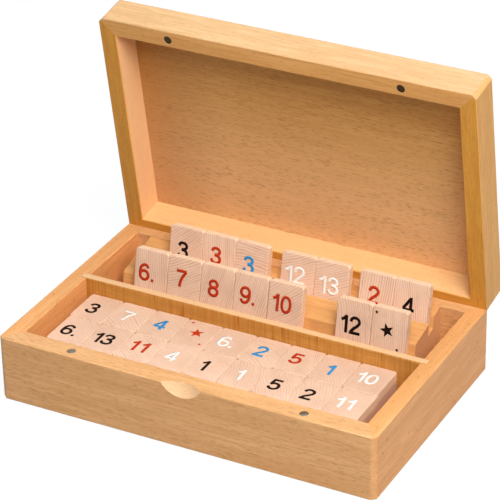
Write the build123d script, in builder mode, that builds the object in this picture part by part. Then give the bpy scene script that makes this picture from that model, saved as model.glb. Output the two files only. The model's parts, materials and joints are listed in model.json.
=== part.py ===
"""Rummy tile case: a two-part beech box with comb-jointed mitres and barrel hinges,
a divided base, a stack of wooden tiles in the front compartment, and a tile rack
with standing tiles in the rear one. Millimetres, +Z up, front towards -Y.
The origin is the centre of the underside, and the lid stands open."""

import os
from math import atan2, cos, degrees, radians, sin, sqrt, tan

from build123d import *

# ---- case ----------------------------------------------------------------------------------
case_width = 270.0
case_depth = 173.0
base_height = 46.3
lid_height = 25.6
front_wall = 14.4
side_wall = 12.0
rear_wall = 12.0
lid_front_wall = 12.0
lid_rear_wall = 10.0
base_panel = 5.5
lid_panel = 3.6
panel_rebate = 6.0  # how far a panel reaches under the walls
panel_play = 0.1
corner_bevel = 3.0  # upright outer corners
rim_ease = 0.8
foot_ease = 1.4
lid_top_ease = 2.0
inner_ease = 0.5
overcut = 1.0  # how far a cut runs past what it cuts

# ---- comb-jointed mitres -------------------------------------------------------------------
comb_pitch = 3.7
comb_depth = 6.0  # across the mitre, tip to tip

# ---- divider -------------------------------------------------------------------------------
divider_thickness = 6.0
front_compartment = 76.6  # from the front wall to the divider
dado_depth = 4.0
dado_play = 0.05

# ---- finger notch in the front wall --------------------------------------------------------
notch_width = 29.0
notch_depth = 5.0
notch_drop = 8.4

# ---- closing magnets -----------------------------------------------------------------------
magnet_diameter = 5.8
magnet_length = 5.0
magnet_end = 51.6  # from the side face
magnet_inset = 6.5  # from the front face
magnet_play = 0.05

# ---- barrel hinges -------------------------------------------------------------------------
lid_open_angle = 81.0
rim_gap = 0.3  # between the closed rims
hinge_end = 47.0  # from the side face
hinge_inset = 3.8  # axis, from the rear face
barrel_diameter = 5.4
barrel_length = 12.0
barrel_play = 0.05
knuckle_radius = 1.4
tongue_half = 0.65
ear_inner = 0.8
ear_outer = 2.1
pin_radius = 0.6
pin_play = 0.04
knuckle_relief = 0.25
barrel_recess = 0.15

# ---- tiles ---------------------------------------------------------------------------------
tile_width = 24.9
tile_length = 30.8
tile_thickness = 6.0
tile_corner = 1.2  # bevel of its upright corners
tile_ease = 0.5  # bevel round its two faces
tile_gap = 0.2
rest_gap = 0.1  # under a loose piece
tile_layers = 5
back_row_play = 5.0  # left of each row, from the wall
front_row_play = 5.9

# ---- rack ----------------------------------------------------------------------------------
rack_length = 218.0
rack_left_share = 0.382  # of the spare length of its compartment, left of the rack
rack_front_room = 11.0  # for fingers, from the divider
rack_rear_play = 0.25
rack_below_rim = 0.3
rack_tilt = 12.0
groove_width = 8.0
groove_depth = 9.0
rear_backrest = 9.7  # back edge of the rear groove, from the rack's rear face
lip_height = 3.4  # front lip over the floor of the front groove
lip_width = 5.64
rack_ease = 0.6

# share of the rack's spare length that lies left of each standing tile
front_tier = (0.268, 0.275, 0.281, 0.288, 0.304, 0.879, 0.888)
rear_tier = (0.524, 0.529, 0.533, 0.755, 0.76, 0.938, 0.943)

# ---- worked out ----------------------------------------------------------------------------
front_face = -case_depth / 2
rear_face = case_depth / 2
inner_width = case_width - 2 * side_wall
divider_front = front_face + front_wall + front_compartment
divider_back = divider_front + divider_thickness
magnet_x = case_width / 2 - magnet_end
hinge_x = case_width / 2 - hinge_end
hinge_y = rear_face - hinge_inset
hinge_z = base_height + rim_gap / 2
bevel = lid_open_angle / 2
tile_pitch = tile_width + tile_gap
tiles_in_row = int((inner_width - front_row_play) / tile_pitch)
back_row = divider_front - tile_gap - tile_length / 2
front_row = back_row - tile_length - tile_gap
top_layer = base_panel + (tile_layers - 1) * tile_thickness + rest_gap
rack_left = (inner_width - rack_length) * rack_left_share - inner_width / 2
rack_front = divider_back + rack_front_room
rack_rear = rear_face - rear_wall - rack_rear_play
rack_top = base_height - rack_below_rim
rack_foot = base_panel + rest_gap
slope = tan(radians(rack_tilt))
lean = (0, sin(radians(rack_tilt)), cos(radians(rack_tilt)))  # up the standing tiles
facing = (0, -lean[2], lean[1])  # out of their faces

base_seat = Plane.XY
lid_seat = Plane(
    Location((0, hinge_y, hinge_z))
    * Location((0, 0, 0), (-lid_open_angle, 0, 0))
    * Location((0, -hinge_y, rim_gap / 2))
)
side_turn = {"front": 0, "right": 90, "rear": 180, "left": 270}
next_sides = {
    "front": ("left", "right"),
    "right": ("front", "rear"),
    "rear": ("right", "left"),
    "left": ("rear", "front"),
}
base_walls = {"front": front_wall, "right": side_wall, "rear": rear_wall, "left": side_wall}
lid_walls = {"front": lid_front_wall, "right": side_wall, "rear": lid_rear_wall, "left": side_wall}

os.makedirs("parts", exist_ok=True)


def save(piece, name):
    piece.part.label = name
    export_step(piece.part, f"parts/{name}.step")


def face_plane(seat, side):
    """The wall's own plane: origin at the middle of its outer foot, +Y into the case."""
    reach = case_depth / 2 if side in ("front", "rear") else case_width / 2
    turn = Location((0, 0, 0), (0, 0, side_turn[side]))
    return Plane(seat.location * turn * Location((0, -reach, 0)))


def comb_outline(height, hand):
    """A zigzag from foot to rim, closed on the side that is cut away."""
    teeth = round(height / comb_pitch)
    step = height / teeth / 4
    tip = hand * comb_depth / 2
    reach = front_wall + side_wall
    outline = [(0, 0)]
    for tooth in range(teeth):
        outline.append((tip, step * (4 * tooth + 1)))
        outline.append((-tip, step * (4 * tooth + 3)))
    outline += [(0, height), (0, height + reach), (2 * reach, height + reach)]
    return outline + [(2 * reach, -reach), (0, -reach)]


def wall_blank(seat, side, walls, height, low_ease, high_ease):
    """One wall with its eased edges and its two comb-jointed mitres."""
    plane = face_plane(seat, side)
    length = case_width if side in ("front", "rear") else case_depth
    thick = walls[side]
    up = Axis(plane.origin, plane.z_dir)
    inward = Axis(plane.origin, plane.y_dir)
    with BuildPart() as blank:
        with BuildSketch(plane):
            with Locations((0, thick / 2)):
                Rectangle(length, thick)
        extrude(amount=height)
        chamfer(blank.edges().filter_by(up).group_by(inward)[0], corner_bevel)
        inner = blank.edges().filter_by(Axis(plane.origin, plane.x_dir)).group_by(inward)[-1]
        outer_low = blank.faces().sort_by(up)[0].edges() - inner
        outer_high = blank.faces().sort_by(up)[-1].edges() - inner
        fillet(outer_low, low_ease)
        fillet(outer_high, high_ease)
        inner = blank.edges().filter_by(Axis(plane.origin, plane.x_dir)).group_by(inward)[-1]
        chamfer(inner, inner_ease)
        for hand, neighbour in zip((-1, 1), next_sides[side]):
            turn = degrees(atan2(walls[neighbour], hand * thick))
            corner = Location((hand * length / 2, 0, 0), (0, 0, turn)) * Location((0, 0, 0), (90, 0, 0))
            with BuildSketch(Plane(plane.location * corner)):
                with BuildLine():
                    Polyline(*comb_outline(height, hand), close=True)
                make_face()
            extrude(amount=thick + walls[neighbour], both=True, mode=Mode.SUBTRACT)
    return blank


def panel_size(walls, extra):
    width = case_width - walls["left"] - walls["right"] + 2 * (panel_rebate - extra)
    depth = case_depth - walls["front"] - walls["rear"] + 2 * (panel_rebate - extra)
    return width, depth, (walls["front"] - walls["rear"]) / 2


def cut_rebate(walls, plane, thickness):
    """The step round the inside of the walls that a panel lies in."""
    width, depth, middle = panel_size(walls, 0)
    with BuildSketch(plane) as outline:
        with Locations((0, middle)):
            Rectangle(width, depth)
    extrude(outline.sketch, amount=thickness, mode=Mode.SUBTRACT)


def bevel_outline(start, extra):
    """Wedge taken off a rear edge so that the halves turn clear and stop at the open angle."""
    back = start + hinge_inset + overcut
    rise = extra + (back - start) * tan(radians(bevel))
    return [(start, -overcut), (start, extra), (back, rise), (back, -overcut)]


def knuckle_plane(seat, rim, into, x=0.0):
    """On the hinge axis: +Z into the half, +Y towards the back."""
    flip = Location((0, 0, 0), (0, 0 if into > 0 else 180, 0))
    return Plane(seat.location * Location((x, hinge_y, rim - into * rim_gap / 2)) * flip)


def section_plane(knuckle):
    """Across the hinge axis, with X towards the back and Y into the half."""
    return Plane(origin=knuckle.origin, x_dir=knuckle.y_dir, z_dir=knuckle.x_dir)


def cut_bevel(knuckle, reach, extra=0.0):
    """Bevel along a rear edge, half of the rim gap away from the hinge axis."""
    start = rim_gap / 2 * tan(radians(bevel / 2))
    with BuildSketch(section_plane(knuckle)) as wedge:
        with BuildLine():
            Polyline(*bevel_outline(start, rim_gap / 2 + extra), close=True)
        make_face()
    extrude(wedge.sketch, amount=reach, both=True, mode=Mode.SUBTRACT)


def cut_round(plane, points, radius, depth):
    with BuildSketch(plane) as rounds:
        with Locations(*points):
            Circle(radius)
    extrude(rounds.sketch, amount=depth, mode=Mode.SUBTRACT)


def box_half(seat, walls, height, rim, panel, low_ease, high_ease):
    """The four walls and the panel of one half of the case. rim is the height of its rim."""
    into = -1 if rim > 0 else 1
    panel_foot = 0 if rim > 0 else height - panel
    knuckle = knuckle_plane(seat, rim, into)
    rim_plane = Plane(seat.location * Location((0, 0, rim), (0, 0 if into > 0 else 180, 0)))
    magnets = [(hand * magnet_x, front_face + magnet_inset) for hand in (-1, 1)]
    hinges = [(hand * hinge_x, hinge_y) for hand in (-1, 1)]
    pieces = {}
    for side in walls:
        with BuildPart() as wall:
            add(wall_blank(seat, side, walls, height, low_ease, high_ease).part)
            cut_rebate(walls, seat.offset(panel_foot), panel)
            if side != "front":
                cut_bevel(knuckle, case_width / 2)
            if side == "rear":
                cut_round(rim_plane, hinges, barrel_diameter / 2 + barrel_play, barrel_length + rim_gap)
            if side == "front":
                cut_round(rim_plane, magnets, magnet_diameter / 2 + magnet_play, magnet_length)
        pieces[side] = wall
    width, depth, middle = panel_size(walls, panel_play)
    with BuildPart() as board:
        with BuildSketch(seat.offset(panel_foot)):
            with Locations((0, middle)):
                Rectangle(width, depth)
        extrude(amount=panel)
    pieces["panel"] = board
    with BuildPart() as discs:
        with BuildSketch(rim_plane):
            with Locations(*magnets):
                Circle(magnet_diameter / 2)
        extrude(amount=magnet_length)
    pieces["magnets"] = discs
    return pieces


def across_axis(knuckle, radius, near, far, mode):
    """A round slice on the hinge axis, from near to far on both sides of the middle."""
    for hand in (-1, 1):
        middle = knuckle.origin + knuckle.x_dir * (hand * (near + far) / 2)
        with BuildSketch(Plane(origin=middle, x_dir=knuckle.y_dir, z_dir=knuckle.x_dir)) as slice_face:
            Circle(radius)
        extrude(slice_face.sketch, amount=(far - near) / 2, both=True, mode=mode)


def hinge_barrel(knuckle, forked):
    """A barrel let into a rear wall: a fork of two ears, or a tongue between them."""
    own = (ear_inner, ear_outer) if forked else (0, tongue_half)
    room = (0, ear_inner) if forked else (tongue_half, barrel_diameter / 2)
    with BuildPart() as barrel:
        with BuildSketch(knuckle.offset(rim_gap / 2 + barrel_recess)):
            Circle(barrel_diameter / 2)
        extrude(amount=barrel_length)
        cut_bevel(knuckle, barrel_diameter, barrel_recess)
        across_axis(knuckle, knuckle_radius, *own, Mode.ADD)
        across_axis(knuckle, knuckle_radius + knuckle_relief, *room, Mode.SUBTRACT)
        across_axis(knuckle, pin_radius + pin_play, 0, barrel_diameter, Mode.SUBTRACT)
    return barrel


def tile(seat):
    """One tile on its seat: width along the seat's X, length along its Y."""
    through = Axis(seat.origin, seat.z_dir)
    with BuildPart() as piece:
        with BuildSketch(seat) as outline:
            Rectangle(tile_width, tile_length)
            chamfer(outline.vertices(), tile_corner)
        extrude(amount=tile_thickness)
        faces = piece.faces().sort_by(through)
        chamfer(faces[0].edges() + faces[-1].edges(), tile_ease)
    return piece


def row_points(play, y):
    start = play + (tile_width - inner_width) / 2
    return [(start + k * tile_pitch, y) for k in range(tiles_in_row)]


# ---- base ----------------------------------------------------------------------------------
base = box_half(base_seat, base_walls, base_height, base_height, base_panel, foot_ease, rim_ease)

# a ball-cut notch: the ball passes through both ends, the depth and the drop of the notch
half = notch_width / 2
ball_out = (half**2 - notch_depth**2) / (2 * notch_depth)
ball_up = (half**2 - notch_drop**2) / (2 * notch_drop)
ball_radius = sqrt(half**2 + ball_out**2 + ball_up**2)
with BuildPart() as front_board:
    add(base["front"].part)
    with Locations((0, front_face - ball_out, base_height + ball_up)):
        Sphere(ball_radius, mode=Mode.SUBTRACT)
base["front"] = front_board

# dadoes that the divider stands in
for side in ("left", "right"):
    with BuildPart() as side_board:
        add(base[side].part)
        with BuildSketch(Plane.XY.offset(base_panel)):
            with Locations((0, (divider_front + divider_back) / 2)):
                Rectangle(inner_width + 2 * dado_depth, divider_thickness + 2 * dado_play)
        extrude(amount=base_height, mode=Mode.SUBTRACT)
    base[side] = side_board

with BuildPart() as divider:
    with BuildSketch(Plane.XY.offset(base_panel)):
        with Locations((0, (divider_front + divider_back) / 2)):
            Rectangle(inner_width + 2 * (dado_depth - dado_play), divider_thickness)
    extrude(amount=base_height - base_panel)
    rim_edges = divider.edges().filter_by(Axis.X).group_by(Axis.Z)[-1]
    chamfer(rim_edges, inner_ease)
save(divider, "divider")

for side in side_turn:
    save(base[side], f"base_{side}_wall")
save(base["panel"], "base_bottom")
save(base["magnets"], "base_magnets")

# ---- lid -----------------------------------------------------------------------------------
lid = box_half(lid_seat, lid_walls, lid_height, 0.0, lid_panel, rim_ease, lid_top_ease)
for side in side_turn:
    save(lid[side], f"lid_{side}_wall")
save(lid["panel"], "lid_top")
save(lid["magnets"], "lid_magnets")

# ---- hinges --------------------------------------------------------------------------------
for name, x in (("left", -hinge_x), ("right", hinge_x)):
    base_knuckle = knuckle_plane(base_seat, base_height, -1, x)
    save(hinge_barrel(base_knuckle, True), f"{name}_hinge_fork")
    save(hinge_barrel(knuckle_plane(lid_seat, 0.0, 1, x), False), f"{name}_hinge_tongue")
    with BuildPart() as pin:
        with BuildSketch(section_plane(base_knuckle)):
            Circle(pin_radius)
        extrude(amount=ear_outer, both=True)
    save(pin, f"{name}_hinge_pin")

# ---- tiles in the front compartment --------------------------------------------------------
tray_points = row_points(back_row_play, back_row) + row_points(front_row_play, front_row)
for layer in range(tile_layers - 1):
    with BuildPart() as stack:
        with BuildSketch(Plane.XY.offset(base_panel + layer * tile_thickness)) as outlines:
            with Locations(*tray_points):
                Rectangle(tile_width, tile_length)
            chamfer(outlines.vertices(), tile_corner)
        extrude(amount=tile_thickness)
    save(stack, f"tray_layer_{layer + 1}")

for row, play, y in (("back", back_row_play, back_row), ("front", front_row_play, front_row)):
    for number, (x, _) in enumerate(row_points(play, y), 1):
        save(tile(Plane((x, y, top_layer))), f"tray_tile_{row}_{number}")

# ---- rack ----------------------------------------------------------------------------------
def rack_height(y):
    """Height of the sloping top at y."""
    return rack_top - (rack_rear - y) * slope


def down_groove(y, depth):
    """The point a given depth down a groove wall that starts on the slope at y."""
    return (y - depth * lean[1], rack_height(y) - depth * lean[2])


def groove_points(backrest):
    """Front edge, floor and back edge of a groove square to the slope."""
    front = backrest - groove_width * lean[2]
    return [
        (front, rack_height(front)),
        down_groove(front, groove_depth),
        down_groove(backrest, groove_depth),
        (backrest, rack_height(backrest)),
    ]


rear_back = rack_rear - rear_backrest
lip_drop = groove_depth - lip_height
front_back = rack_front + lip_width + lip_drop * lean[1] + groove_width * lean[2]
lip_top = rack_height(front_back - groove_width * lean[2]) - lip_drop * lean[2]

with BuildPart() as rack:
    with BuildSketch(Plane.YZ.offset(rack_left)):
        with BuildLine():
            Polyline(
                (rack_front, rack_foot),
                (rack_front, lip_top),
                (rack_front + lip_width, lip_top),
                *groove_points(front_back)[1:],
                *groove_points(rear_back),
                (rack_rear, rack_top),
                (rack_rear, rack_foot),
                close=True,
            )
        make_face()
    extrude(amount=rack_length)
    crests = rack.edges().filter_by(Axis.X).filter_by(lambda edge: edge.center().Z > lip_top - lip_height / 2)
    chamfer(crests, rack_ease)
save(rack, "rack")

# ---- tiles standing in the rack ------------------------------------------------------------
for tier, backrest, shares in (("front", front_back, front_tier), ("rear", rear_back, rear_tier)):
    foot_y, foot_z = down_groove(backrest, groove_depth - rest_gap)
    middle = Vector(0, foot_y, foot_z) + Vector(*lean) * (tile_length / 2) + Vector(*facing) * rest_gap
    spare = rack_length - len(shares) * tile_width
    for number, share in enumerate(shares):
        left = rack_left + number * tile_width + share * spare
        origin = middle + Vector(left + tile_width / 2, 0, 0)
        piece = tile(Plane(origin=origin, x_dir=(1, 0, 0), z_dir=facing))
        save(piece, f"rack_tile_{tier}_{number + 1}")
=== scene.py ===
"""Finishes, printed numbers and studio of the rummy tile case.

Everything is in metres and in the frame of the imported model. Each piece stands where its
CAD node is, and rides on that node's body.
"""

import json
import math
from collections import namedtuple

import bmesh
import bpy
from bpy.props import FloatProperty, FloatVectorProperty, PointerProperty
from mathutils import Matrix, Vector


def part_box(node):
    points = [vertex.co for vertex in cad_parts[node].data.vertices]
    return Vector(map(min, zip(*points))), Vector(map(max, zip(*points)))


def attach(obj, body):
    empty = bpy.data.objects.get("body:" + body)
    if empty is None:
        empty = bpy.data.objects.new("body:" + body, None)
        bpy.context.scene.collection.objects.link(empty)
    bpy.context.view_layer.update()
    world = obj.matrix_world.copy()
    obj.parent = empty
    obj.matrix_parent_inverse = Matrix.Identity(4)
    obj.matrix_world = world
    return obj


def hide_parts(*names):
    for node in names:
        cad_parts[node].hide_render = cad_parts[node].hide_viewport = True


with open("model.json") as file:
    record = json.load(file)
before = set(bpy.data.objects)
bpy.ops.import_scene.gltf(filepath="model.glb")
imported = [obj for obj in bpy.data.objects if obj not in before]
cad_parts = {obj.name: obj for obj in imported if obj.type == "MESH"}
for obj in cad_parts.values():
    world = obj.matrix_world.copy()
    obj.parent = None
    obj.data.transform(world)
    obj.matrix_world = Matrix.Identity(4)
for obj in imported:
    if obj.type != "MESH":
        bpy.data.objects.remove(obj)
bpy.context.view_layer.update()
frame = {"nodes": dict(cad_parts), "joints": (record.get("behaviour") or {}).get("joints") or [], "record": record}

bl_info = {
    "name": "Rummy Tile Case",
    "version": (1, 0, 0),
    "blender": (4, 5, 0),
    "location": "View3D > Sidebar > Tile Case",
    "description": "Dresses a wooden tile case with beech, printed numbers and a studio",
    "category": "Object",
}

MM = 0.001
NEAR = 0.01 * MM  # places that are nearer are taken as the same
JOINTS = {joint["name"]: joint for joint in frame["joints"]}
BODIES = frame["record"]["behaviour"]["bodies"]
BODY = {node: body for body, nodes in BODIES.items() for node in nodes}

# How a board is turned so that its fibre runs along X, for the boards of each side.
ALONG_X = Matrix.Identity(4)
ALONG_Y = Matrix.Rotation(math.radians(-90), 4, "Z")
SIDES = {"front": ALONG_X, "rear": ALONG_X, "left": ALONG_Y, "right": ALONG_Y}


# ---- frames of the boards ---------------------------------------------------------------------


def lid_seat():
    """From the closed lid's own frame to where it stands open."""
    hinge = JOINTS["lid_hinge"]
    pivot = Matrix.Translation(hinge["pos_m"])
    turn = Matrix.Rotation(math.radians(hinge["range_deg"][0]), 4, "X")
    return pivot @ turn @ pivot.inverted()


def lean():
    """Up the standing tiles."""
    return Vector(JOINTS["rack_tile_front_1_lift"]["axis"]).normalized()


# ---- shader graph -----------------------------------------------------------------------------


def linear(colour):
    """A colour as it is seen, 0 to 1, turned into the light it stands for."""
    return [c / 12.92 if c <= 0.04045 else ((c + 0.055) / 1.055) ** 2.4 for c in colour[:3]] + [1.0]


class Value:
    """A number in a material, which can be added, multiplied and so on."""

    def __init__(self, finish, socket):
        self.finish = finish
        self.socket = socket

    def __add__(self, other):
        return self.finish.math("ADD", self, other)

    __radd__ = __add__

    def __sub__(self, other):
        return self.finish.math("SUBTRACT", self, other)

    def __rsub__(self, other):
        return self.finish.math("SUBTRACT", other, self)

    def __mul__(self, other):
        return self.finish.math("MULTIPLY", self, other)

    __rmul__ = __mul__

    def __pow__(self, other):
        return self.finish.math("POWER", self, other)

    def fade(self, low, high):
        """0 below low, 1 above high, smooth between; the other way round if low is the larger."""
        ends = (0.0, 1.0) if low < high else (1.0, 0.0)
        inputs = {0: self, 1: min(low, high), 2: max(low, high), 3: ends[0], 4: ends[1]}
        ramp = self.finish.node("ShaderNodeMapRange", {"interpolation_type": "SMOOTHSTEP"}, inputs)
        return Value(self.finish, ramp.outputs[0])


class Finish:
    """The nodes of a material or of the world while they are being built."""

    def __init__(self, owner, output="ShaderNodeOutputMaterial"):
        owner.use_nodes = True
        self.owner = owner
        self.tree = owner.node_tree
        self.tree.nodes.clear()
        self.output = self.node(output)

    def node(self, kind, settings=None, inputs=None):
        """A node of the given type: its settings first, then the values or links of its sockets."""
        node = self.tree.nodes.new(kind)
        for name, value in (settings or {}).items():
            setattr(node, name, value)
        for name, value in (inputs or {}).items():
            self.put(node.inputs[name], value)
        return node

    def put(self, socket, value):
        """Gives a socket its value or its link."""
        if isinstance(value, Value):
            value = value.socket
        if isinstance(value, bpy.types.NodeSocket):
            self.tree.links.new(value, socket)
        else:
            socket.default_value = value

    def math(self, operation, *numbers):
        """What the operation makes of the numbers, each of them plain or a Value."""
        node = self.node("ShaderNodeMath", {"operation": operation}, dict(enumerate(numbers)))
        return Value(self, node.outputs[0])

    def mix(self, factor, first, second, blend="MIX"):
        """Two colours mixed; factor is a number or a Value."""
        settings = {"data_type": "RGBA", "blend_type": blend}
        return self.node("ShaderNodeMix", settings, {0: factor, 6: first, 7: second}).outputs[2]

    def place(self, name):
        """The coordinates of this name that the mesh carries."""
        return self.node("ShaderNodeAttribute", {"attribute_name": name}).outputs["Vector"]

    def mark(self, name):
        """The mark of this name that the mesh carries, 0 if it has none."""
        return Value(self, self.node("ShaderNodeAttribute", {"attribute_name": name}).outputs["Fac"])

    def scaled(self, vector, scale, offset=(0, 0, 0)):
        """The vector times scale, then moved by offset."""
        inputs = {0: vector, 1: scale, 2: offset}
        return self.node("ShaderNodeVectorMath", {"operation": "MULTIPLY_ADD"}, inputs).outputs[0]

    def noise(self, place, rate, detail=2.0, rough=0.5, distortion=0.0, offset=(0, 0, 0)):
        """Noise with about rate spots a metre along X, Y and Z."""
        inputs = {"Vector": self.scaled(place, rate, offset), "Scale": 1.0, "Detail": detail}
        inputs |= {"Roughness": rough, "Distortion": distortion}
        return Value(self, self.node("ShaderNodeTexNoise", {}, inputs).outputs["Fac"])

    def seen(self):
        """1 for what the camera sees, straight, mirrored or through glass, and 0 for the light."""
        path = self.node("ShaderNodeLightPath").outputs
        straight = Value(self, path["Is Camera Ray"])
        mirrored = Value(self, path["Is Glossy Ray"])
        through = Value(self, path["Is Transmission Ray"])
        return self.math("MAXIMUM", self.math("MAXIMUM", straight, mirrored), through)

    def bump(self, height, distance, strength):
        """A normal that follows the height."""
        inputs = {"Height": height, "Distance": distance, "Strength": strength}
        return self.node("ShaderNodeBump", {}, inputs).outputs[0]

    def surface(self, **inputs):
        """The Principled shader that ends the material. Underscores stand for spaces."""
        named = {name.replace("_", " "): value for name, value in inputs.items()}
        return self.end(self.node("ShaderNodeBsdfPrincipled", {}, named))

    def end(self, shader):
        """Links the last shader and gives back the material or the world."""
        self.put(self.output.inputs["Surface"], shader.outputs[0])
        return self.owner


# ---- materials --------------------------------------------------------------------------------


def beech(name, tone, pores, rays=None, figure=0.0, painted_light_span=None, painted_shade_span=None, rim=(0.80, 0.73, 0.44)):
    """Varnished beech. Reads the board's own 'grain' coordinates, in which the fibre runs along X.

    tone multiplies the red, green and blue of the pale and the deep wood.
    pores is the length and width of the dark dashes in mm, how rare and how dark they are.
    rays is the same for marks in the board's 'flecks' coordinates, and figure adds streaks across.
    Then comes where across the board it starts to get paler and where that ends: painted light on the lower part
    of the open lid's panel.
    After it, where along the board it starts to get darker and where that ends: painted shade towards the panel's
    left edge.
    Last, a darker tint for the faces that the board's rim attribute marks: painted shade on the lid's faces that
    meet the base, which face forward when the lid stands open.
    """
    wood = bpy.context.scene.tile_case_wood
    finish = Finish(bpy.data.materials.new(name))
    grain = finish.place("grain")
    end = finish.mark("end")
    # Faces that get painted light: they are mixed paler below and show fewer dark dashes.
    bare = finish.mark("bare")
    wander = {"Vector": finish.scaled(grain, (14.0, 40.0, 40.0)), "Scale": 1.0, "Detail": 1.0}
    bend = finish.node("ShaderNodeTexNoise", {}, wander).outputs["Color"]
    bent = finish.scaled(bend, (0.0, 0.0022, 0.0022), grain)
    bands = finish.noise(bent, (7.0, 110.0, 110.0), 3.0, 0.6, 0.3).fade(0.30, 0.72)
    streams = finish.noise(bent, (26.0, 480.0, 480.0), 2.0, 0.55, offset=(2.3, 5.1, 9.7)).fade(0.35, 0.68)
    fibres = finish.noise(bent, (42.0, 950.0, 950.0), 3.0, 0.62)
    silk = finish.noise(bent, (120.0, 3200.0, 3200.0), 1.0, 0.5)
    marks = dashes(finish, bent, pores)
    if rays:
        marks = marks + dashes(finish, finish.place("flecks"), rays)
    marks = marks * (1 - end) * (1 - bare * 0.6)
    fleck = linear(wood.fleck)
    light = linear([p * t for p, t in zip(wood.pale, tone)])
    dark = linear([d * t for d, t in zip(wood.deep, tone)])
    base = finish.mix(bands * 0.7, light, dark)
    base = finish.mix((fibres - 0.44) * 2.9 + streams * 0.34, base, dark)
    base = finish.mix((silk - 0.5) * 0.4, base, fleck)
    if figure:
        base = finish.mix(streaks(finish, grain) * figure, base, linear(wood.streak))
    parts = finish.node("ShaderNodeSeparateXYZ", {}, {0: grain}).outputs
    # Painted light: paler across the board past the given span.
    if painted_light_span:
        base = finish.mix(Value(finish, parts["Y"]).fade(*painted_light_span) * 0.62, base, linear(wood.bare))
    # Painted shade: darker along the board past the given span.
    if painted_shade_span:
        base = finish.mix(Value(finish, parts["X"]).fade(*painted_shade_span) * 0.42, base, fleck)
    base = finish.mix(end * 0.55, base, linear(wood.end))
    # Painted light: the marked faces are mixed towards the paler colour, as where light falls on them.
    base = finish.mix(bare * 0.8, base, linear(wood.bare))
    base = finish.mix(marks, base, fleck)
    # Painted shade: the faces that meet the base are darkened by the rim tint.
    base = finish.mix(finish.mark("rim"), base, (*rim, 1.0), "MULTIPLY")
    height = fibres * 0.5 - marks * 0.15 + silk * 0.3
    return finish.surface(
        Base_Color=base,
        Roughness=fibres * 0.12 + (wood.roughness - 0.06),
        Normal=finish.bump(height, 0.06 * MM, 0.5),
        Specular_IOR_Level=wood.gloss,
    )


def dashes(finish, place, shape):
    """Short dark dashes along the fibre, gathered here and there."""
    length, width, rare, dark = shape
    along = 1000 / length
    across = 1000 / width / 2.2
    thin = finish.noise(place, (along, across, across), 1.0, 0.4, offset=(3.1, 7.7, 5.3))
    crowd = finish.noise(place, (22.0, 70.0, 70.0), 1.0, 0.5, offset=(1.3, 2.9, 8.1))
    return (thin + (crowd - 0.5) * 0.16).fade(rare, rare + 0.10) * dark


def streaks(finish, place):
    """Streaks across the fibre, broad ones with thin ones between."""
    broad = finish.noise(place, (150.0, 20.0, 14.0), 2.0, 0.55, 0.4).fade(0.58, 0.72)
    thin = finish.noise(place, (700.0, 30.0, 22.0), 2.0, 0.6).fade(0.40, 0.68)
    return broad + thin * 0.55


def tile_wood():
    """Sanded pale wood with growth rings round each tile's own centre, wider apart near it."""
    tiles = bpy.context.scene.tile_case_tiles
    finish = Finish(bpy.data.materials.new("tile_wood"))
    grain = finish.place("grain")
    tint = finish.mark("tint")
    flat = finish.scaled(grain, (1.0, 1.0, 0.12))
    length = finish.node("ShaderNodeVectorMath", {"operation": "LENGTH"}, {0: flat})
    far = Value(finish, length.outputs[1])
    wander = finish.noise(grain, (70.0, 30.0, 30.0), 3.0, 0.55)
    rate = 1 / (1.5 * math.sqrt(0.2) * tiles.ring_pitch)
    year = finish.math("FRACT", far ** 1.5 * rate + wander * 2.4)
    late = year ** 3.0 * year.fade(1.0, 0.88)
    clear = finish.noise(grain, (260.0, 18.0, 18.0), 2.0, 0.6).fade(0.35, 0.7)
    rings = late * (clear * 0.8 + 0.35)
    soft = finish.noise(grain, (60.0, 60.0, 60.0), 2.0, 0.5).fade(0.35, 0.7)
    fine = finish.noise(grain, (2200.0, 420.0, 900.0), 2.0, 0.6)
    ring = linear(tiles.ring)
    # A tint over 1, as the layers under the top one have, gives painted shade.
    base = finish.mix(soft * 0.25 + tint * 0.75, linear(tiles.pale), linear(tiles.warm))
    base = finish.mix(rings * (1.05 - tint * 0.65), base, ring)
    base = finish.mix((fine - 0.5) * 0.5 + 0.05, base, ring)
    # The narrow sides are painted paler, partly as the wood there and partly as a painted highlight on the edges.
    base = finish.mix(finish.mark("edge") * 0.6, base, linear(tiles.edge))
    return finish.surface(
        Base_Color=base,
        Roughness=fine * 0.1 + 0.55,
        Normal=finish.bump(fine * 0.6 - rings * 0.4, 0.05 * MM, 0.5),
        Specular_IOR_Level=0.3,
    )


def ink(name, wear):
    """A printed colour, through which the wood shows where it is worn."""
    tiles = bpy.context.scene.tile_case_tiles
    finish = Finish(bpy.data.materials.new(f"ink_{name}"))
    place = finish.node("ShaderNodeTexCoord").outputs["Object"]
    worn = finish.noise(place, (900.0, 900.0, 900.0), 3.0, 0.6)
    base = finish.mix(worn.fade(0.62, 0.80) * wear, linear(getattr(tiles, name)), linear(tiles.ring))
    return finish.surface(
        Base_Color=base,
        Roughness=worn * 0.15 + 0.55,
        Normal=finish.bump(worn, 0.03 * MM, 0.4),
        Specular_IOR_Level=0.1,
    )


def metal(name, colour, rough, rate):
    """Turned or plated metal with fine wear, which has about rate spots a metre. Marked edges get a painted
    highlight.
    """
    fittings = bpy.context.scene.tile_case_fittings
    finish = Finish(bpy.data.materials.new(name))
    place = finish.node("ShaderNodeTexCoord").outputs["Object"]
    wear = finish.noise(place, (rate, rate, rate), 3.0, 0.6)
    base = finish.mix(wear.fade(0.4, 0.75) * 0.35, linear(colour), linear([c * 0.7 for c in colour]))
    # Painted highlight: the edges that the mesh marks are painted in the bright colour.
    base = finish.mix(finish.mark("edge"), base, linear(fittings.bright))
    return finish.surface(
        Base_Color=base,
        Roughness=wear * 0.2 + (rough - 0.1),
        Metallic=1.0,
        Normal=finish.bump(wear, 0.02 * MM, 0.3),
    )


# ---- meshes -----------------------------------------------------------------------------------

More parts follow.
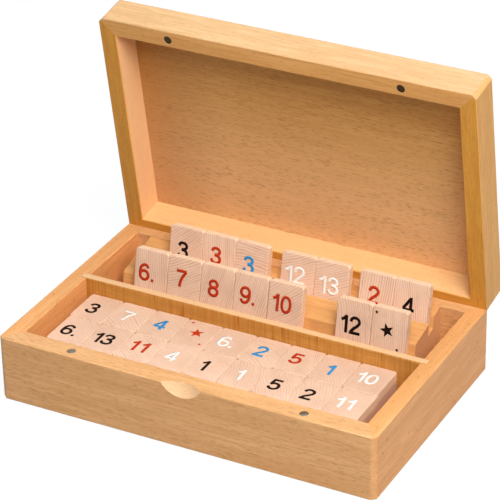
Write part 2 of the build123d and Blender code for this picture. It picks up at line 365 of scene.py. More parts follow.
WELD = 0.002 * MM  # a CAD mesh's vertices that are nearer become one
FLAT_ANGLE = 0.6  # degrees; its faces that meet at less become one
FLAT_AREA = 30 * MM * MM  # larger faces stay flat, so that no shade creeps over them
COMB_REACH = 5.2 * MM  # how far along a wall's inside its corner comb's tips may show
NOTCH_REACH = 16 * MM  # the finger notch lies within this of the middle
NOTCH_FLOOR = 30 * MM  # and above this height
SQUARE = 0.985  # a face is square to an axis if its normal's share along that axis is over this
LONG = 0.2 * MM  # a corner bevel's edges are longer
RIM_ANGLE = 1.2  # radians; a disc's faces meet at more round its rim
BOARD_SMOOTH = 35  # degrees; a board's or a disc's faces that meet at less are shaded as one
TILE_SMOOTH = 40  # the same for a tile


def solid_of(node):
    """A CAD node's loose triangles, merged into a solid with flat faces."""
    solid = bmesh.new()
    solid.from_mesh(frame["nodes"][node].data)
    bmesh.ops.remove_doubles(solid, verts=solid.verts, dist=WELD)
    angle = math.radians(FLAT_ANGLE)
    bmesh.ops.dissolve_limit(solid, angle_limit=angle, verts=solid.verts, edges=solid.edges)
    return solid


def rounded(solid, edges, width, segments):
    """Rounds the given edges."""
    bmesh.ops.bevel(
        solid,
        geom=edges,
        offset=width,
        offset_type="OFFSET",
        affect="EDGES",
        segments=segments,
        profile=0.5,
        material=-1,
        clamp_overlap=True,
    )


def upright_edges(solid):
    """The edges that run up a solid."""
    return [e for e in solid.edges if abs(e.verts[0].co.z - e.verts[1].co.z) > MM]


def level_edges(solid):
    """The edges that stay at one height."""
    return [e for e in solid.edges if abs(e.verts[0].co.z - e.verts[1].co.z) < NEAR]


def smooth_by_angle(mesh, degrees):
    """Smooths the faces that meet at less than the angle, apart from large ones."""
    mesh.set_sharp_from_angle(angle=math.radians(degrees))
    for polygon in mesh.polygons:
        polygon.use_smooth = polygon.area < FLAT_AREA


def mark_grain(mesh, seat, along, shift, across=None):
    """Writes the board's own coordinates and how squarely each face cuts through the fibre.

    The fibre runs along X in them. across turns the coordinates of the flecks.
    """
    to_board = along @ seat.inverted()
    to_flecks = (across or Matrix.Identity(4)) @ to_board
    for name, turn in (("grain", to_board), ("flecks", to_flecks)):
        layer = mesh.attributes.new(name, "FLOAT_VECTOR", "POINT")
        layer.data.foreach_set("vector", [c for v in mesh.vertices for c in (turn @ v.co + shift)])
    fibre = to_board.to_3x3().inverted() @ Vector((1, 0, 0))
    end = mesh.attributes.new("end", "FLOAT", "FACE")
    end.data.foreach_set("value", [max(0.0, abs(p.normal.dot(fibre)) * 2.5 - 1.5) for p in mesh.polygons])


def mark_tint(mesh, tint):
    """Writes how warm the wood of a tile is; a tint over 1, as the layers under the top one get, paints them
    darker as painted shade.
    """
    layer = mesh.attributes.new("tint", "FLOAT", "POINT")
    layer.data.foreach_set("value", [tint] * len(mesh.vertices))


def mark_faces(mesh, name, seat, test):
    """Marks each face with what the test says of its middle and normal in the seat's own frame."""
    back = seat.inverted()
    faces = [(back @ p.center, back.to_3x3() @ p.normal) for p in mesh.polygons]
    mark = mesh.attributes.new(name, "FLOAT", "FACE")
    mark.data.foreach_set("value", [float(test(middle, normal)) for middle, normal in faces])


def inside(middle, normal):
    """A face that looks towards the middle of the case, which is painted paler as painted light. The rear board's
    gets less of it.
    """
    share = 0.65 if normal.y < -0.9 else 1.0
    return share * (abs(normal.z) < 0.3 and middle.xy.dot(normal.xy) < 0)


def on_top(middle, normal):
    """A face that looks up."""
    return normal.z > 0.9


def on_rim(middle, normal):
    """A lid face that meets the base when the case is closed."""
    return normal.z < -0.9


def in_notch(middle, normal):
    """A face of the finger notch that is square to no axis."""
    if max(abs(c) for c in normal) >= SQUARE:
        return False
    return abs(middle.x) < NOTCH_REACH and middle.z > NOTCH_FLOOR


def narrow(middle, normal):
    """A narrow side of a tile, or the edge of a disc."""
    return abs(normal.z) < 0.5


def piece(name, solid, material, body, *nodes):
    """The finished piece: linked, riding on its body and standing for its nodes."""
    mesh = bpy.data.meshes.new(name)
    solid.to_mesh(mesh)
    solid.free()
    mesh.materials.append(material)
    made = bpy.data.objects.new(name, mesh)
    bpy.context.scene.collection.objects.link(made)
    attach(made, body)
    if nodes:
        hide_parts(*nodes)
    return made


# ---- boards -----------------------------------------------------------------------------------


def inner_planes(half, seat):
    """Where the insides of a half's four walls stand in the closed case."""
    back = seat.inverted()
    spots = {}
    for side in SIDES:
        mesh = frame["nodes"][f"{half}_{side}_wall"].data
        spots[side] = [back @ vertex.co for vertex in mesh.vertices]
    return {
        "left": max(spot.x for spot in spots["left"]),
        "right": min(spot.x for spot in spots["right"]),
        "front": max(spot.y for spot in spots["front"]),
        "rear": min(spot.y for spot in spots["rear"]),
    }


def close_mitres(solid, half, side, seat):
    """Draws the combs' zigzags straight where they would show inside the case."""
    planes = inner_planes(half, seat)
    across, ends = (0, ("front", "rear")) if side in ("left", "right") else (1, ("left", "right"))
    back = seat.inverted()
    for vert in solid.verts:
        spot = back @ vert.co
        if abs(spot[across] - planes[side]) >= NEAR:
            continue
        for end in ends:
            if abs(spot[1 - across] - planes[end]) < COMB_REACH:
                spot[1 - across] = planes[end]
                vert.co = seat @ spot


def corner_edges(solid, seat):
    """The long edges of the bevel on the case's upright corners."""
    cut = bpy.context.scene.tile_case_wood.corner_bevel
    back = seat.inverted()
    low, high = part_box("base_front_wall")
    spots = [(high.x, -low.y - cut), (high.x - cut, -low.y)]
    found = []
    for edge in solid.edges:
        a, b = (back @ v.co for v in edge.verts)
        if (a.xy - b.xy).length > NEAR or abs(a.z - b.z) < LONG:
            continue
        if any(abs(abs(a.x) - x) < 2 * NEAR and abs(abs(a.y) - y) < 2 * NEAR for x, y in spots):
            found.append(edge)
    return found


def board(node, name, material, seat, along, shift, across=None, ease=0.0):
    """A wooden board copied from its node, with grain of its own and its upright corners rounded."""
    solid = solid_of(node)
    if node.endswith("_wall"):
        close_mitres(solid, *node.split("_")[:2], seat)
    if ease:
        rounded(solid, corner_edges(solid, seat), ease, segments=4)
    made = piece(name, solid, material, BODY[node], node)
    smooth_by_angle(made.data, BOARD_SMOOTH)
    mark_grain(made.data, seat, along, shift, across)
    return made


# ---- numbers ----------------------------------------------------------------------------------

# Centre lines of the digits' strokes, in hundredths of a digit's height. A closed stroke is an oval.
DIGITS = {
    "1": [((45, 0), (45, 100)), ((46, 97), (34, 82), (16, 71))],
    "2": [
        ((11, 69), (19, 87), (37, 93), (55, 86), (61.5, 71), (53, 53), (28, 30), (12, 8)),
        ((4, 7), (68, 7)),
    ],
    "3": [
        ((10, 73), (18, 88), (35, 93), (52, 87), (58, 74), (50, 60), (28, 54)),
        ((28, 54), (52, 48), (62, 30.5), (54, 13), (35, 7), (17, 13), (8.5, 29)),
    ],
    "4": [((50, 96), (7, 34)), ((2, 29), (70, 29)), ((50, 0), (50, 100))],
    "5": [
        ((16, 93), (64, 93)),
        ((20, 99), (13, 47)),
        ((11, 48), (36, 61), (56, 53), (62.5, 34), (55, 15), (35, 7), (17, 13), (9, 27)),
    ],
    "6": [
        ("oval", 36, 33, 25.5, 26),
        ((60, 75), (53, 88), (38, 93), (19, 82), (11, 58), (10.5, 36)),
    ],
    "7": [((5, 93), (67, 93)), ((65, 92), (46, 64), (33, 33), (28, 0))],
    "8": [("oval", 36, 73.3, 22.5, 19.7), ("oval", 36, 30.2, 25.5, 23.2)],
    "9": [
        ("oval", 36, 67, 25.5, 26),
        ((12, 25), (19, 12), (34, 7), (53, 18), (61, 42), (61.5, 64)),
    ],
    "0": [("oval", 36, 50, 25, 43)],
}

# In the same hundredths: the room that a digit takes, where its own isn't given, and the dot's.
DIGIT_ROOM = 72
OWN_ROOM = {"1": 60}
DOT_ROOM = 20
# The dot's radius, and how far its middle is in from the number's right and below its middle.
DOT_RADIUS = 9.6
DOT_INSET = 5
DOT_DROP = 41
STROKE_STEP = 0.012 * MM  # how far each stroke of a digit lies over the one before

# How far each star is to the right of the tile's middle and above it, and its radius, in mm.
STARS = ((0, 0.4, 5.2), (-8.3, 11.2, 1.5), (8.3, -11.2, 1.5))
STAR_WAIST = 0.42  # of the radius, for the corners between the points


def stroke_profile(width, thickness):
    """The flat cross-section that the strokes are drawn with."""
    outline = bpy.data.curves.new("stroke_profile", "CURVE")
    outline.dimensions = "2D"
    spline = outline.splines.new("POLY")
    spline.points.add(3)
    for point, (x, y) in zip(spline.points, ((-1, -1), (1, -1), (1, 1), (-1, 1))):
        point.co = (x * width / 2, y * thickness / 2, 0, 1)
    spline.use_cyclic_u = True
    made = bpy.data.objects.new("stroke_profile", outline)
    bpy.context.scene.collection.objects.link(made)
    return made


def add_stroke(curve, stroke, scale, left, level):
    """One stroke of a digit as a smooth spline through its points, level above the tile."""
    oval = stroke[0] == "oval"
    if oval:
        x, y, wide, tall = stroke[1:]
        stroke = ((x, y + tall), (x + wide, y), (x, y - tall), (x - wide, y))
    spline = curve.splines.new("BEZIER")
    spline.bezier_points.add(len(stroke) - 1)
    for point, (x, y) in zip(spline.bezier_points, stroke):
        point.co = ((x + left) * scale, (y - 50) * scale, level)
        point.handle_left_type = point.handle_right_type = "AUTO" if len(stroke) > 2 else "VECTOR"
    spline.use_cyclic_u = oval


def number_mesh(text):
    """The digits of a number, lying flat, centred, with a dot after a 6 or a 9."""
    tiles = bpy.context.scene.tile_case_tiles
    scale = tiles.digit_height / 100
    digits = text.rstrip(".")
    dot = text.endswith(".")
    curve = bpy.data.curves.new("number", "CURVE")
    curve.dimensions = "3D"
    curve.twist_mode = "Z_UP"
    curve.resolution_u = 5
    curve.use_fill_caps = True
    profile = stroke_profile(tiles.stroke * tiles.digit_height, 2 * tiles.ink_height)
    curve.bevel_mode = "OBJECT"
    curve.bevel_object = profile
    width = sum(OWN_ROOM.get(digit, DIGIT_ROOM) for digit in digits) + (DOT_ROOM if dot else 0)
    left = -width / 2
    for digit in digits:
        for layer, stroke in enumerate(DIGITS[digit]):
            add_stroke(curve, stroke, scale, left, STROKE_STEP * layer)
        left += OWN_ROOM.get(digit, DIGIT_ROOM)
    drawn = bpy.data.objects.new("number", curve)
    bpy.context.scene.collection.objects.link(drawn)
    bpy.context.view_layer.update()
    mesh = bpy.data.meshes.new_from_object(drawn.evaluated_get(bpy.context.evaluated_depsgraph_get()))
    solid = bmesh.new()
    solid.from_mesh(mesh)
    bpy.data.objects.remove(drawn)
    bpy.data.objects.remove(profile)
    bpy.data.meshes.remove(mesh)
    if dot:
        bmesh.ops.create_cone(
            solid,
            cap_ends=True,
            segments=20,
            radius1=DOT_RADIUS * scale,
            radius2=DOT_RADIUS * scale,
            depth=2 * tiles.ink_height,
            matrix=Matrix.Translation(((width / 2 - DOT_INSET) * scale, -DOT_DROP * scale, 0)),
        )
    return solid


def star_mesh():
    """A wild tile's plain star, with a small one in two corners."""
    tiles = bpy.context.scene.tile_case_tiles
    solid = bmesh.new()
    for x, y, radius in STARS:
        ring = bmesh.ops.create_circle(solid, cap_ends=True, segments=10, radius=radius * MM)["verts"]
        for vert in ring[::2]:
            vert.co *= STAR_WAIST
        turn = Matrix.Rotation(math.radians(-18), 3, "Z")
        bmesh.ops.rotate(solid, verts=ring, cent=(0, 0, 0), matrix=turn)
        bmesh.ops.translate(solid, verts=ring, vec=(x * MM, y * MM, -tiles.ink_height))
    bmesh.ops.recalc_face_normals(solid, faces=solid.faces)
    extruded = bmesh.ops.extrude_face_region(solid, geom=solid.faces[:])
    top = [v for v in extruded["geom"] if isinstance(v, bmesh.types.BMVert)]
    bmesh.ops.translate(solid, verts=top, vec=(0, 0, 2 * tiles.ink_height))
    bmesh.ops.recalc_face_normals(solid, faces=solid.faces)
    return solid


# ---- tiles ------------------------------------------------------------------------------------

# What a tile says and its ink; the angle of its growth rings in degrees and how far off they turn
# in mm; how far the print lies to the right of the tile's middle and above it, in mm.
Face = namedtuple("Face", "text ink angle off right up")

ROWS = {
    "tray_tile_back": (
        Face("3", "black", 60, 120, -2.3, -1.3),
        Face("7", "white", 52, 90, -1.9, 0),
        Face("4", "blue", 60, 150, -1.4, 0),
        Face("star", "red", 75, 120, -0.2, 0.5),
        Face("6.", "white", 80, 120, -3, 0),
        Face("2", "blue", 60, 100, -2.1, -0.8),
        Face("5", "red", 20, 200, -2.6, 1.2),
        Face("1", "blue", 45, 120, -2.7, -1.3),
        Face("10", "white", -7, 200, -2.3, 0),
    ),
    "tray_tile_front": (
        Face("6.", "black", 46, 120, -2.9, -1.1),
        Face("13", "black", 58, 100, -2.7, -0.6),
        Face("11", "red", 45, 110, -2, 1.1),
        Face("4", "white", 78, 140, -1.8, 0.2),
        Face("1", "black", 70, 200, -3.2, -0.9),
        Face("1", "white", 20, 110, -2.7, -0.3),
        Face("5", "black", 35, 120, -1.6, -1.3),
        Face("2", "black", 20, 100, -2.9, -2.4),
        Face("11", "white", 50, 160, -3.1, -1.3),
    ),
    "rack_tile_front": (
        Face("6.", "red", 5, 200, -3.8, -1),
        Face("7", "red", -60, 140, -1.9, 0.8),
        Face("8", "red", -12, 240, -2.5, -0.4),
        Face("9.", "red", -14, 160, -2.6, 0.4),
        Face("10", "red", -53, 140, -2.8, 0.7),
        Face("12", "black", 8, 140, -2.4, -1.8),
        Face("star", "black", 3, 200, -1.3, 0),
    ),
    "rack_tile_rear": (
        Face("3", "black", -51, 140, -2, -1.3),
        Face("3", "red", 4, 180, -1.8, 0.6),
        Face("3", "blue", 80, 90, -1.8, -0.3),
        Face("12", "white", -65, 140, -2.5, 0.4),
        Face("13", "white", -66, 130, -2.3, -1.1),
        Face("2", "red", -9, 140, -1.6, 0.1),
        Face("4", "black", 6, 200, -1.4, -1.7),
    ),
}
WEAR = {"black": 0.2, "red": 0.2, "blue": 0.2, "white": 0.0}  # how worn each ink is
PRINT_TURN = 1.2  # degrees that a print may be off the straight
WOOD_SPREAD = (8 * MM, 15 * MM, 20 * MM)  # how far the places differ that tiles are cut from
LAYERS_BELOW = 4  # layers of tiles under the top one
LAYER_STEP = 0.03  # how far apart in the wood the layers are cut


def tile_frame(node):
    """The middle of a tile: X across it, Y up its face, Z out of its face."""
    low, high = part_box(node)
    middle = Matrix.Translation((low + high) / 2)
    if node.startswith("tray"):
        return middle
    up = lean()
    out = Vector((0, -up.z, up.y))
    return middle @ Matrix((Vector((1, 0, 0)), up, out)).transposed().to_4x4()


def tile_size():
    """Width, height and thickness of a tile."""
    low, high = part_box("tray_tile_back_1")
    return high - low


def tile_solid():
    """One tile about the origin, its corners rounded and its faces eased."""
    tiles = bpy.context.scene.tile_case_tiles
    solid = bmesh.new()
    bmesh.ops.create_cube(solid, size=1.0)
    bmesh.ops.scale(solid, vec=tile_size(), verts=solid.verts)
    rounded(solid, upright_edges(solid), tiles.corner, segments=4)
    rounded(solid, level_edges(solid), tiles.ease, segments=3)
    return solid


def steady(text, spread):
    """A small offset that is the same each time for the same words."""
    total = sum((i + 3) * ord(c) * 7919 for i, c in enumerate(text))
    return ((total % 1009) / 1009 - 0.5) * 2 * spread


# ---- settings ---------------------------------------------------------------------------------


def colour_property(name, description, default):
    """A colour as it is seen."""
    return FloatVectorProperty(
        name=name, description=description, default=default, size=3, min=0, max=1, subtype="COLOR_GAMMA"
    )


def tint_property(name, description, default):
    """The colour of a light."""
    return FloatVectorProperty(
        name=name, description=description, default=default, size=3, min=0, max=1, subtype="COLOR"
    )


def length_property(name, description, millimetres):
    """A length, which is kept in metres."""
    return FloatProperty(
        name=name, description=description, default=millimetres * MM, min=0, unit="LENGTH"
    )


def power_property(name, description, default):
    """The power of a light."""
    return FloatProperty(name=name, description=description, default=default, min=0, unit="POWER")


def amount_property(name, description, default, most=1.0):
    """An amount from 0 to most."""
    return FloatProperty(
        name=name, description=description, default=default, min=0, max=most, subtype="FACTOR"
    )


class WoodSettings(bpy.types.PropertyGroup):
    """Sizes and colours of the case's beech"""

    pale: colour_property("Pale Wood", "Lighter colour of the beech", (0.925, 0.725, 0.510))
    deep: colour_property("Deep Wood", "Darker colour of the beech", (0.845, 0.625, 0.405))
    fleck: colour_property("Flecks", "Colour of the dark flecks", (0.600, 0.365, 0.155))
    streak: colour_property("Streaks", "Colour of the divider's upright streaks", (0.700, 0.420, 0.150))
    end: colour_property("End Grain", "Colour where the fibres are cut across", (0.930, 0.740, 0.580))
    # Painted light: this paler colour is painted on the lid's insides, the finger notch, the divider's top and the
    # lower part of the lid's panel.
    bare: colour_property("Bare Wood", "Colour where the wood isn't varnished", (0.990, 0.830, 0.660))
    roughness: amount_property("Roughness", "Roughness of the varnish", 0.46)
    gloss: amount_property("Gloss", "Strength of the varnish's sheen", 0.2)
    corner_bevel: length_property("Corner Bevel", "Bevel of the upright corners in the model", 3.0)
    corner_round: length_property("Corner Rounding", "Rounding of both edges of that bevel", 2.1)


class FittingSettings(bpy.types.PropertyGroup):
    """Sizes and colours of the magnets and the hinges"""

    nickel: colour_property("Nickel", "Colour of the magnets in the base", (0.500, 0.470, 0.410))
    dark_steel: colour_property("Dark Steel", "Colour of the magnets in the lid", (0.270, 0.220, 0.150))
    # Painted highlight on the magnets' rounded edges.
    bright: colour_property("Bright Edge", "Colour of the magnets' edges", (0.850, 0.800, 0.720))
    brass: colour_property("Brass", "Colour of the hinges' forks and tongues", (0.820, 0.660, 0.360))
    steel: colour_property("Steel", "Colour of the hinges' pins", (0.660, 0.660, 0.670))
    disc_ease: length_property("Magnet Edge", "Rounding of the magnets' edges", 0.6)


class TileSettings(bpy.types.PropertyGroup):
    """Sizes and colours of the tiles and their numbers"""

    pale: colour_property("Pale Wood", "Lighter colour of the tiles", (1.000, 0.880, 0.790))
    warm: colour_property("Warm Wood", "Pinker colour of the tiles", (0.885, 0.742, 0.652))
    ring: colour_property("Growth Rings", "Colour of the growth rings", (0.730, 0.500, 0.390))
    # Partly the wood's own colour, partly a painted highlight on the narrow sides.
    edge: colour_property("Edges", "Colour of the tiles' narrow sides", (1.000, 0.900, 0.780))
    tray_tint: amount_property("Tray Tint", "How warm the tiles in the tray are", 0.75)
    rack_tint: amount_property("Rack Tint", "How warm the tiles on the rack are", 0.2)
    # Painted shade: the layers under the top one are painted warmer and darker than the tray's tiles, for the
    # shadow in the gap beside them.
    below_tint: amount_property("Tint Below", "How warm the tiles under the top layer are", 1.3, 2.0)
    tint_spread: amount_property("Tint Spread", "How much one tile's tint differs", 0.2)
    ring_pitch: length_property("Ring Pitch", "Distance between growth rings 200 mm from their centre", 1.45)
    corner: length_property("Corner Radius", "Rounding of a tile's corners", 1.9)
    ease: length_property("Edge Radius", "Rounding of a tile's edges", 0.5)
    digit_height: length_property("Digit Height", "Height of a digit", 12.2)
    stroke: amount_property("Stroke", "Stroke width, as a share of the digit's height", 0.172, 0.4)
    ink_height: length_property("Ink Height", "How far the ink stands over the wood", 0.03)
    black: colour_property("Black Ink", "Colour of the black numbers", (0.100, 0.040, 0.020))
    red: colour_property("Red Ink", "Colour of the red numbers", (0.780, 0.235, 0.110))
    blue: colour_property("Blue Ink", "Colour of the blue numbers", (0.230, 0.600, 0.860))
    white: colour_property("White Ink", "Colour of the white numbers", (1.0, 1.0, 1.0))


class StageSettings(bpy.types.PropertyGroup):
    """Floor and light of the studio"""

    floor: colour_property("Floor", "Colour of the floor", (0.700, 0.700, 0.700))
    key_power: power_property("Key Light", "Power of the light at the front right", 24.0)
    key_tint: tint_property("Key Tint", "Colour of the light at the front right", (1.0, 0.90, 0.81))
    high_power: power_property("High Light", "Power of the light overhead", 10.5)
    high_tint: tint_property("High Tint", "Colour of the light overhead", (0.80, 0.97, 1.0))
    back_power: power_property("Back Light", "Power of the light behind", 12.0)
    back_tint: tint_property("Back Tint", "Colour of the light behind", (0.85, 0.92, 1.0))
    ambient: colour_property("Ambient", "Light from all round", (0.200, 0.170, 0.130))
    glow: amount_property("Backdrop Glow", "Brightness of the floor to the camera", 1.16, 2.0)


# ---- operators --------------------------------------------------------------------------------

# The camera: how far round to the right of the front, how high and how far out of level, in
# degrees; metres from what it looks at; what it looks at, in mm; its picture and focal length.
CAMERA_AZIMUTH = 28.40
CAMERA_ELEVATION = 29.48
CAMERA_ROLL = -1.29
CAMERA_DISTANCE = 1.68567
CAMERA_TARGET = (8.58, -6.5, 105.79)
PICTURE_WIDTH_PX = 500
FOCAL_LENGTH_PX = 2651.31
SENSOR_WIDTH = 36.0

# The size and place of each light, and what they are all aimed at, the middle of the base.
LAMPS = {
    "key": (0.9, (0.74, -0.74, 1.22)),
    "high": (1.2, (0.29, -0.50, 1.65)),
    "back": (0.9, (0.0, 0.85, 1.52)),
}
LAMP_AIM = (0.0, 0.0, 0.05)

FLOOR_REACH = 6.0  # half the floor's width
FLOOR_DROP = 0.05 * MM  # how far below the case the floor lies
FLOOR_GLOW = 0.8  # the glow's share of the floor; the rest is matt and shows the shadow

RAY_LEAN = 66  # degrees that the marks on the side boards are turned from the fibre


class TILECASE_OT_stage(bpy.types.Operator):
    """Sets up the camera, the floor and the lights"""

    bl_idname = "tilecase.stage"
    bl_label = "Studio"

    def execute(self, context):
        stage = context.scene.tile_case_stage
        self.camera(context)
        self.floor(context, stage)
        self.world(context, stage)
        for name, (size, place) in LAMPS.items():
            power = getattr(stage, f"{name}_power")
            tint = getattr(stage, f"{name}_tint")
            self.lamp(context, f"{name}_light", power, tint, size, place)
        return {"FINISHED"}

    def camera(self, context):
        """The camera, a little out of level."""
        azimuth = math.radians(CAMERA_AZIMUTH)
        elevation = math.radians(CAMERA_ELEVATION)
        roll = math.radians(CAMERA_ROLL)
        out = math.cos(elevation)
        back = Vector((math.sin(azimuth) * out, -math.cos(azimuth) * out, math.sin(elevation)))
        level = Vector((0, 0, 1)).cross(back).normalized()
        upward = back.cross(level)
        right = level * math.cos(roll) + upward * math.sin(roll)
        up = upward * math.cos(roll) - level * math.sin(roll)
        data = bpy.data.cameras.new("camera")
        data.sensor_width = SENSOR_WIDTH
        data.lens = SENSOR_WIDTH * FOCAL_LENGTH_PX / PICTURE_WIDTH_PX
        data.clip_start = 0.05
        data.clip_end = 50.0
        camera = bpy.data.objects.new("camera", data)
        context.scene.collection.objects.link(camera)
        place = Vector(CAMERA_TARGET) * MM + back * CAMERA_DISTANCE
        turn = Matrix((right, up, back)).transposed().to_4x4()
        camera.matrix_world = Matrix.Translation(place) @ turn
        context.scene.camera = camera
        context.scene.view_settings.view_transform = "Standard"

    def floor(self, context, stage):
        """A floor that glows white to the camera and still takes the shadow."""
        solid = bmesh.new()
        bmesh.ops.create_grid(solid, x_segments=1, y_segments=1, size=FLOOR_REACH)
        bmesh.ops.translate(solid, verts=solid.verts, vec=(0, 0, -FLOOR_DROP))
        mesh = bpy.data.meshes.new("floor")
        solid.to_mesh(mesh)
        solid.free()
        finish = Finish(bpy.data.materials.new("studio_floor"))
        matt = finish.node("ShaderNodeBsdfDiffuse", {}, {"Color": linear(stage.floor)})
        glow = finish.node("ShaderNodeEmission", {}, {"Color": (1, 1, 1, 1), "Strength": stage.glow})
        shares = {0: finish.seen() * FLOOR_GLOW, 1: matt.outputs[0], 2: glow.outputs[0]}
        finish.end(finish.node("ShaderNodeMixShader", {}, shares))
        mesh.materials.append(finish.owner)
        floor = bpy.data.objects.new("floor", mesh)
        context.scene.collection.objects.link(floor)

    def world(self, context, stage):
        """White to the camera, and a faint warm light to everything else."""
        world = bpy.data.worlds.new("studio")
        context.scene.world = world
        finish = Finish(world, "ShaderNodeOutputWorld")
        colour = finish.mix(finish.seen(), linear(stage.ambient), (1, 1, 1, 1))
        finish.end(finish.node("ShaderNodeBackground", {}, {"Color": colour}))

    def lamp(self, context, name, power, tint, size, place):
        """A round lamp that is aimed at the middle of the base."""
        data = bpy.data.lights.new(name, "AREA")
        data.shape = "DISK"
        data.size = size
        data.energy = power
        data.color = tint
        lamp = bpy.data.objects.new(name, data)
        context.scene.collection.objects.link(lamp)
        lamp.location = place
        lamp.rotation_mode = "QUATERNION"
        lamp.rotation_quaternion = (Vector(LAMP_AIM) - Vector(place)).to_track_quat("-Z", "Y")


class TILECASE_OT_base(bpy.types.Operator):
    """Makes the base's walls, bottom and divider of beech"""

    bl_idname = "tilecase.base"
    bl_label = "Base"

    def execute(self, context):
        ease = context.scene.tile_case_wood.corner_round
        front = beech("beech_front", (1.01, 1.02, 1.05), pores=(5.0, 0.40, 0.56, 0.24))
        side = beech(
            "beech_side", (1.05, 1.01, 0.97), pores=(3.0, 0.35, 0.64, 0.15), rays=(4.2, 0.85, 0.66, 0.42)
        )
        figured = beech("beech_figured", (0.905, 0.855, 0.62), pores=(3.0, 0.4, 0.64, 0.2), figure=0.95)
        leaning = Matrix.Rotation(math.radians(RAY_LEAN), 4, "Y")
        seat = Matrix.Identity(4)
        for number, (name, along) in enumerate(SIDES.items(), 1):
            material, across = (side, leaning) if along is ALONG_Y else (front, None)
            shift = Vector((0.31, 0.17, 0.23)) * number
            wall = board(f"base_{name}_wall", f"base_{name}", material, seat, along, shift, across, ease)
            if name == "front":
                # The finger notch's faces are painted paler: painted light.
                mark_faces(wall.data, "bare", seat, in_notch)
        board("base_bottom", "bottom_board", front, seat, ALONG_X, Vector((0.4, 0.9, 0.3)))
        divider = board("divider", "divider_board", figured, seat, ALONG_X, Vector((0.7, 0.2, 0.9)))
        # The divider's top is painted paler: painted light on a top face.
        mark_faces(divider.data, "bare", seat, on_top)
        return {"FINISHED"}


class TILECASE_OT_lid(bpy.types.Operator):
    """Makes the lid's walls and top of beech"""

    bl_idname = "tilecase.lid"
    bl_label = "Lid"

    def execute(self, context):
        ease = context.scene.tile_case_wood.corner_round
        pores = (4.0, 0.35, 0.60, 0.2)
        wood = beech("beech_lid", (1.037, 1.02, 0.84), pores)
        # Painted light: the lid's front board gets a paler, bluer copy of the lid's beech, as its top face is lit
        # from above; its faces that meet the base get a stronger painted shade.
        lit_lid_wood = beech("beech_lid_front", (0.98, 1.03, 1.10), pores, rim=(1.0, 0.86, 0.58))
        # The panel is painted paler towards its lower part, painted light, and darker towards its left edge,
        # painted shade.
        panel = beech(
            "beech_panel",
            (0.922, 0.925, 0.785),
            pores=(5.0, 0.28, 0.58, 0.40),
            painted_light_span=(0.44, 0.58),
            painted_shade_span=(0.143, 0.080),
        )
        seat = lid_seat()
        for number, (name, along) in enumerate(SIDES.items(), 2):
            material = lit_lid_wood if name == "front" else wood
            shift = Vector((0.27, 0.41, 0.13)) * number
            wall = board(f"lid_{name}_wall", f"lid_{name}", material, seat, along, shift, ease=ease)
            # The lid walls' insides are painted paler: painted light.
            mark_faces(wall.data, "bare", seat, inside)
            # The faces that meet the base get painted shade.
            mark_faces(wall.data, "rim", seat, on_rim)
        board("lid_top", "lid_panel", panel, seat, ALONG_X, Vector((0.2, 0.5, 0.8)))
        return {"FINISHED"}


class TILECASE_OT_rack(bpy.types.Operator):
    """Makes the tile rack of beech"""

    bl_idname = "tilecase.rack"
    bl_label = "Rack"

    def execute(self, context):
        material = beech("beech_rack", (0.985, 0.97, 0.92), pores=(3.0, 0.35, 0.64, 0.2))
        board("rack", "tile_rack", material, Matrix.Identity(4), ALONG_X, Vector((0.15, 0.65, 0.35)))
        return {"FINISHED"}


class TILECASE_OT_fittings(bpy.types.Operator):
    """Finishes the magnets and the hinges"""

    bl_idname = "tilecase.fittings"
    bl_label = "Magnets and Hinges"

    def execute(self, context):
        fittings = context.scene.tile_case_fittings
        nickel = metal("nickel_plate", fittings.nickel, 0.42, 700.0)
        dark_steel = metal("dark_steel", fittings.dark_steel, 0.50, 700.0)
        brass = metal("turned_brass", fittings.brass, 0.32, 500.0)
        steel = metal("bright_steel", fittings.steel, 0.28, 600.0)
        self.discs("base", Matrix.Identity(4), nickel, fittings.disc_ease)
        self.discs("lid", lid_seat(), dark_steel, fittings.disc_ease)
        for hand in ("left", "right"):
            for part, material in (("fork", brass), ("tongue", brass), ("pin", steel)):
                materials = frame["nodes"][f"{hand}_hinge_{part}"].data.materials
                materials.clear()
                materials.append(material)
        return {"FINISHED"}

    def discs(self, half, seat, material, ease):
        """The round magnets in one half, with rounded edges painted bright as a painted highlight."""
        node = f"{half}_magnets"
        solid = solid_of(node)
        rims = [e for e in solid.edges if len(e.link_faces) == 2 and e.calc_face_angle() > RIM_ANGLE]
        rounded(solid, rims, ease, segments=3)
        made = piece(f"{half}_magnet_discs", solid, material, BODY[node], node)
        smooth_by_angle(made.data, BOARD_SMOOTH)
        # The edges get a painted highlight.
        mark_faces(made.data, "edge", seat, narrow)


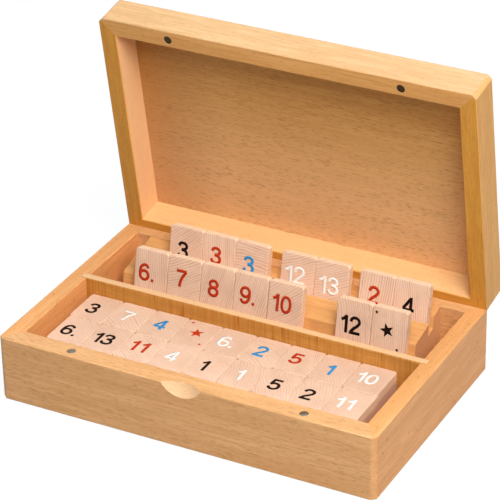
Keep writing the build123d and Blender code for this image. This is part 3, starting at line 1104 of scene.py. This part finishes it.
class TILECASE_OT_tiles(bpy.types.Operator):
    """Makes the tiles, with growth rings of their own"""

    bl_idname = "tilecase.tiles"
    bl_label = "Tiles"

    def execute(self, context):
        tiles = context.scene.tile_case_tiles
        material = tile_wood()
        for row, faces in ROWS.items():
            tint = tiles.tray_tint if row.startswith("tray") else tiles.rack_tint
            for number, face in enumerate(faces, 1):
                node = f"{row}_{number}"
                self.tile(node, face, material, tint + steady(node + "t", tiles.tint_spread))
        for layer in range(1, LAYERS_BELOW + 1):
            self.layer_below(layer, material, tiles)
        return {"FINISHED"}

    def tile(self, node, face, material, tint):
        """One tile, cut from a place of its own in the wood."""
        place = tile_frame(node)
        solid = tile_solid()
        bmesh.ops.transform(solid, matrix=place, verts=solid.verts)
        made = piece(f"{node}_wood", solid, material, BODY[node], node)
        smooth_by_angle(made.data, TILE_SMOOTH)
        turn = Matrix.Rotation(math.radians(-face.angle), 4, "Z")
        x, y, z = WOOD_SPREAD
        off = face.off * MM + steady(node, x)
        shift = Vector((off, steady(node + "y", y), steady(node + "z", z)))
        mark_grain(made.data, place, turn, shift)
        mark_tint(made.data, tint)
        # Narrow sides: partly their own paler colour, partly a painted highlight.
        mark_faces(made.data, "edge", place, narrow)

    def layer_below(self, layer, material, tiles):
        """One layer of tiles under the top one."""
        node = f"tray_layer_{layer}"
        solid = solid_of(node)
        rounded(solid, upright_edges(solid), tiles.corner, segments=3)
        made = piece(f"tiles_below_{layer}", solid, material, BODY[node], node)
        mark_grain(made.data, Matrix.Identity(4), ALONG_X, Vector((0.09, LAYER_STEP * layer, 0.0)))
        # Painted shade: this tint makes the layers under the top one darker.
        mark_tint(made.data, tiles.below_tint)


class TILECASE_OT_numbers(bpy.types.Operator):
    """Prints the numbers and the stars on the tiles"""

    bl_idname = "tilecase.numbers"
    bl_label = "Numbers"

    def execute(self, context):
        inks = {name: ink(name, wear) for name, wear in WEAR.items()}
        top = tile_size().z / 2
        for row, faces in ROWS.items():
            for number, face in enumerate(faces, 1):
                node = f"{row}_{number}"
                solid = star_mesh() if face.text == "star" else number_mesh(face.text)
                lift = Matrix.Translation((face.right * MM, face.up * MM, top))
                angle = math.radians(steady(node + face.text, PRINT_TURN))
                turn = Matrix.Rotation(angle, 4, "Z")
                bmesh.ops.transform(solid, matrix=tile_frame(node) @ lift @ turn, verts=solid.verts)
                made = piece(f"{node}_print", solid, inks[face.ink], BODY[node])
        return {"FINISHED"}


SETTINGS = {
    "tile_case_wood": WoodSettings,
    "tile_case_fittings": FittingSettings,
    "tile_case_tiles": TileSettings,
    "tile_case_stage": StageSettings,
}
OPERATORS = (
    TILECASE_OT_stage,
    TILECASE_OT_base,
    TILECASE_OT_lid,
    TILECASE_OT_rack,
    TILECASE_OT_fittings,
    TILECASE_OT_tiles,
    TILECASE_OT_numbers,
)
STEPS = [operator.bl_idname for operator in OPERATORS]


class TILECASE_PT_panel(bpy.types.Panel):
    """Lists the steps and settings of the tile case"""

    bl_label = "Tile Case"
    bl_idname = "TILECASE_PT_panel"
    bl_space_type = "VIEW_3D"
    bl_region_type = "UI"
    bl_category = "Tile Case"

    def draw(self, context):
        for step in STEPS:
            self.layout.operator(step)
        for group in SETTINGS:
            settings = getattr(context.scene, group)
            for name in settings.__annotations__:
                self.layout.prop(settings, name)


def register():
    """Registers the classes and hangs the settings on the scene."""
    for kind in (*SETTINGS.values(), *OPERATORS, TILECASE_PT_panel):
        bpy.utils.register_class(kind)
    for name, kind in SETTINGS.items():
        setattr(bpy.types.Scene, name, PointerProperty(type=kind))


def unregister():
    """Takes back what register does."""
    for name in SETTINGS:
        delattr(bpy.types.Scene, name)
    for kind in (TILECASE_PT_panel, *reversed(OPERATORS), *SETTINGS.values()):
        bpy.utils.unregister_class(kind)


def main():
    """Makes everything."""
    register()
    for step in STEPS:
        group, name = step.split(".")
        getattr(getattr(bpy.ops, group), name)()


if __name__ == "__main__":
    main()
